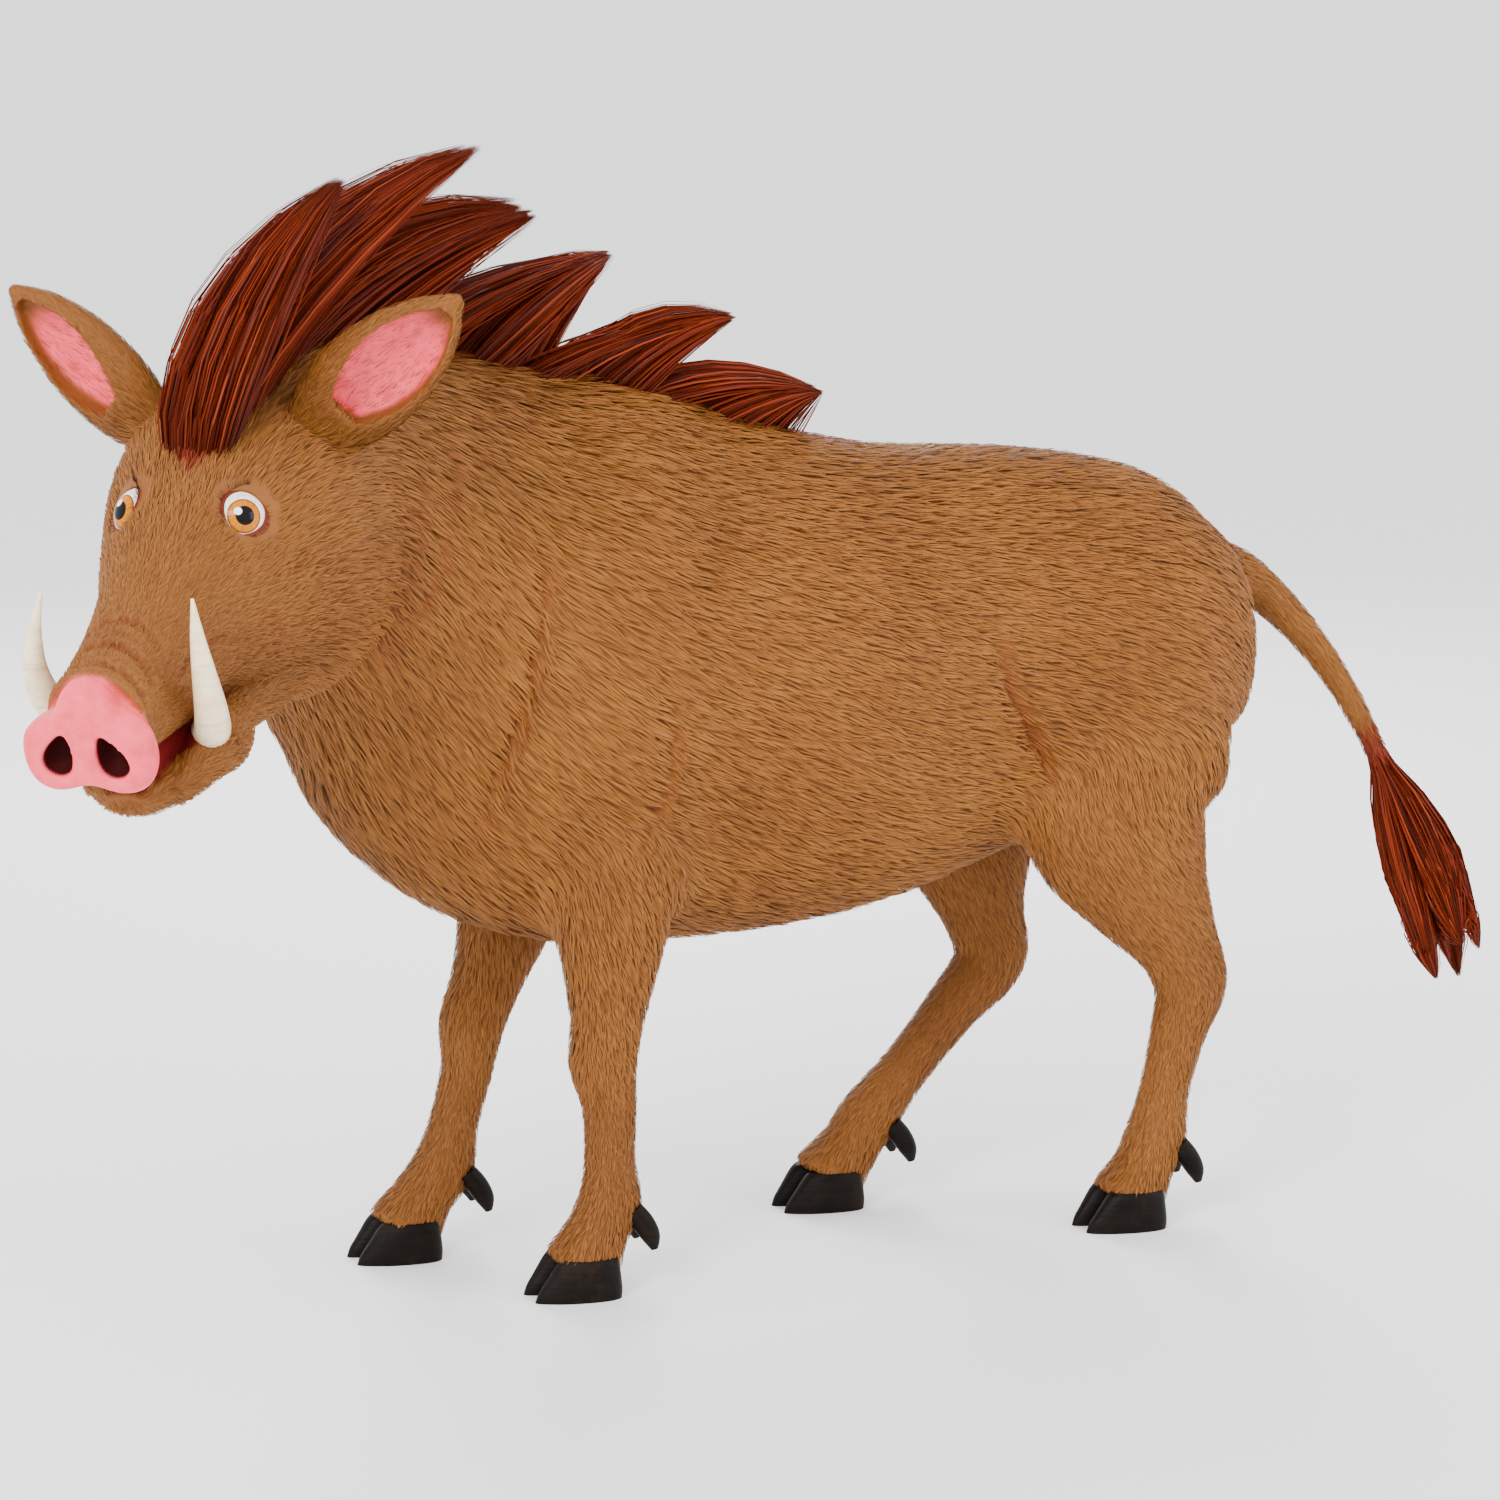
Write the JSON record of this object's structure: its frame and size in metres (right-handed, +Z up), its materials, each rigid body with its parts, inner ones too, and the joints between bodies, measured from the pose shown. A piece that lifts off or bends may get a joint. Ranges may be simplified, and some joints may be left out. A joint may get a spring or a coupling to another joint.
{
  "type": "wild boar",
  "caption": "Adult male wild boar standing with its head turned to its left, with bristle crest, tusks, cloven hooves and tufted tail.",
  "frame": {"origin": "middle of the floor rectangle under the whole animal, level with the soles of the hooves", "axes": "+Z up, the head towards -X and turned towards -Y, the animal's left side towards -Y, the tail towards +X"},
  "size_m": [1.7178, 0.7022, 1.1741],
  "materials": {
    "coat": "coarse short hair, golden brown",
    "crest": "long stiff bristles, dark red-brown",
    "snout": "bare moist skin, pink",
    "eye": "amber iris with a black pupil, glossy",
    "tusk": "polished ivory",
    "hoof": "worn dark horn"
  },
  "bodies": {
    "root": {"torso": "coat", "neck": "coat", "ear_left": "coat", "eye_left": "eye", "tusk_left": "tusk", "ear_right": "coat", "eye_right": "eye", "tusk_right": "tusk", "head": "coat", "jaw": "coat", "snout_disc": "snout", "foreleg_left_upper": "coat", "foreleg_left_lower": "coat", "foreleg_left_hoof_outer": "hoof", "foreleg_left_dewclaw_outer": "hoof", "foreleg_left_hoof_inner": "hoof", "foreleg_left_dewclaw_inner": "hoof", "foreleg_right_upper": "coat", "foreleg_right_lower": "coat", "foreleg_right_hoof_outer": "hoof", "foreleg_right_dewclaw_outer": "hoof", "foreleg_right_hoof_inner": "hoof", "foreleg_right_dewclaw_inner": "hoof", "hindleg_left_upper": "coat", "hindleg_left_lower": "coat", "hindleg_left_hoof_outer": "hoof", "hindleg_left_dewclaw_outer": "hoof", "hindleg_left_hoof_inner": "hoof", "hindleg_left_dewclaw_inner": "hoof", "hindleg_right_upper": "coat", "hindleg_right_lower": "coat", "hindleg_right_hoof_outer": "hoof", "hindleg_right_dewclaw_outer": "hoof", "hindleg_right_hoof_inner": "hoof", "hindleg_right_dewclaw_inner": "hoof", "tail": "coat", "tail_tuft": "crest"}
  },
  "joints": []
}
